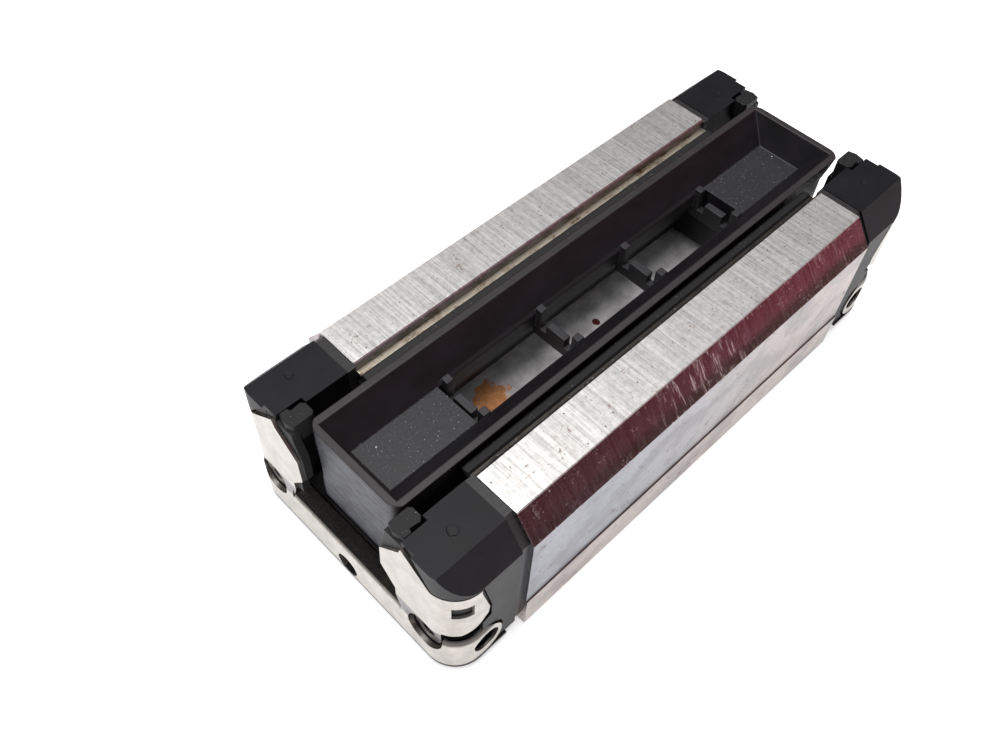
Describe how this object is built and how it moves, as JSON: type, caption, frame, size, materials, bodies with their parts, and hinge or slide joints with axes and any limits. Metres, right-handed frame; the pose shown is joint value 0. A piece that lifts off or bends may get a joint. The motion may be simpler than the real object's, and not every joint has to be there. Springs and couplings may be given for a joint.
{
  "type": "linear guide carriage",
  "caption": "Slim, long recirculating-ball linear guide carriage lying channel up, with a plastic transport rail in its channel.",
  "frame": {"origin": "centre of the mounting face", "axes": "+X along the travel, towards the far end; +Y to the left side seen along the travel; +Z out of the rail channel"},
  "size_m": [0.108, 0.048, 0.0299],
  "materials": {
    "ground_steel": "surface-ground bearing steel with fine grinding lines, pits and rust specks",
    "hardened_steel": "ground, hardened raceway steel",
    "guide_plastic": "moulded dark plastic",
    "seal_strip_steel": "thin stainless strip with brown grime",
    "seal_rubber": "black rubber",
    "return_plate_plastic": "black moulded plastic",
    "cap_plastic": "dark grey moulded plastic, fine grain",
    "stainless_sheet": "pressed stainless sheet, fine random scratches",
    "screw_steel": "black-oxide steel",
    "ball_steel": "polished bearing steel",
    "tray_plastic": "dark moulded plastic, slightly sooty"
  },
  "bodies": {
    "block": {"runner_block": "ground_steel", "raceway_insert_left": "hardened_steel", "raceway_insert_right": "hardened_steel", "ball_guide_lower_left": "guide_plastic", "ball_guide_center_left": "guide_plastic", "ball_guide_upper_left": "guide_plastic", "ball_guide_lower_right": "guide_plastic", "ball_guide_center_right": "guide_plastic", "ball_guide_upper_right": "guide_plastic", "return_tube_lower_left": "guide_plastic", "return_tube_upper_left": "guide_plastic", "return_tube_lower_right": "guide_plastic", "return_tube_upper_right": "guide_plastic", "side_seal_strip_left": "seal_strip_steel", "side_seal_strip_right": "seal_strip_steel", "side_seal_lip_left": "seal_rubber", "side_seal_lip_right": "seal_rubber", "return_plate_near": "return_plate_plastic", "return_plate_far": "return_plate_plastic", "end_cap_near": "cap_plastic", "end_cap_far": "cap_plastic", "turn_guide_near_left": "guide_plastic", "turn_guide_near_right": "guide_plastic", "turn_guide_far_left": "guide_plastic", "turn_guide_far_right": "guide_plastic", "end_seal_near": "seal_rubber", "end_seal_far": "seal_rubber", "end_plate_near": "stainless_sheet", "end_plate_far": "stainless_sheet", "end_screws_near": "screw_steel", "end_screws_far": "screw_steel"},
    "loaded_balls": {"load_balls_lower_left": "ball_steel", "load_balls_upper_left": "ball_steel", "load_balls_lower_right": "ball_steel", "load_balls_upper_right": "ball_steel"},
    "returning_balls": {"return_balls_lower_left": "ball_steel", "return_balls_upper_left": "ball_steel", "return_balls_lower_right": "ball_steel", "return_balls_upper_right": "ball_steel"},
    "turning_balls_near_left": {"turn_balls_near_left": "ball_steel"},
    "turning_balls_near_right": {"turn_balls_near_right": "ball_steel"},
    "turning_balls_far_left": {"turn_balls_far_left": "ball_steel"},
    "turning_balls_far_right": {"turn_balls_far_right": "ball_steel"},
    "transport_rail": {"transport_rail": "tray_plastic"}
  },
  "joints": [
    {"name": "transport_rail_slide", "type": "slide", "parent": "block", "child": "transport_rail", "axis": [1, 0, 0], "range_m": [-0.1, 0.1]},
    {"name": "turn_near_left_roll", "type": "hinge", "parent": "block", "child": "turning_balls_near_left", "pos_m": [-0.04125, 0.01595, 0.0178], "axis": [0, 0, 1], "range_deg": [-12.5, 12.5]},
    {"name": "turn_near_right_roll", "type": "hinge", "parent": "block", "child": "turning_balls_near_right", "pos_m": [-0.04125, -0.01595, 0.0178], "axis": [0, 0, 1], "range_deg": [-14, 14]},
    {"name": "turn_far_left_roll", "type": "hinge", "parent": "block", "child": "turning_balls_far_left", "pos_m": [0.04125, 0.01595, 0.0178], "axis": [0, 0, 1], "range_deg": [-14, 14]},
    {"name": "turn_far_right_roll", "type": "hinge", "parent": "block", "child": "turning_balls_far_right", "pos_m": [0.04125, -0.01595, 0.0178], "axis": [0, 0, 1], "range_deg": [-14, 14]},
    {"name": "loaded_rows_travel", "type": "slide", "parent": "block", "child": "loaded_balls", "axis": [1, 0, 0], "range_m": [-0.001, 0.001]},
    {"name": "return_rows_travel", "type": "slide", "parent": "block", "child": "returning_balls", "axis": [1, 0, 0], "range_m": [-0.001, 0.001]}
  ],
  "couplings": [
    {"joint": "turn_near_right_roll", "follows": "turn_near_left_roll", "ratio": -1},
    {"joint": "turn_far_left_roll", "follows": "turn_near_left_roll", "ratio": 1},
    {"joint": "turn_far_right_roll", "follows": "turn_near_left_roll", "ratio": -1},
    {"joint": "loaded_rows_travel", "follows": "turn_near_left_roll", "m_per_rad": 0.00365},
    {"joint": "return_rows_travel", "follows": "turn_near_left_roll", "m_per_rad": -0.00365}
  ]
}
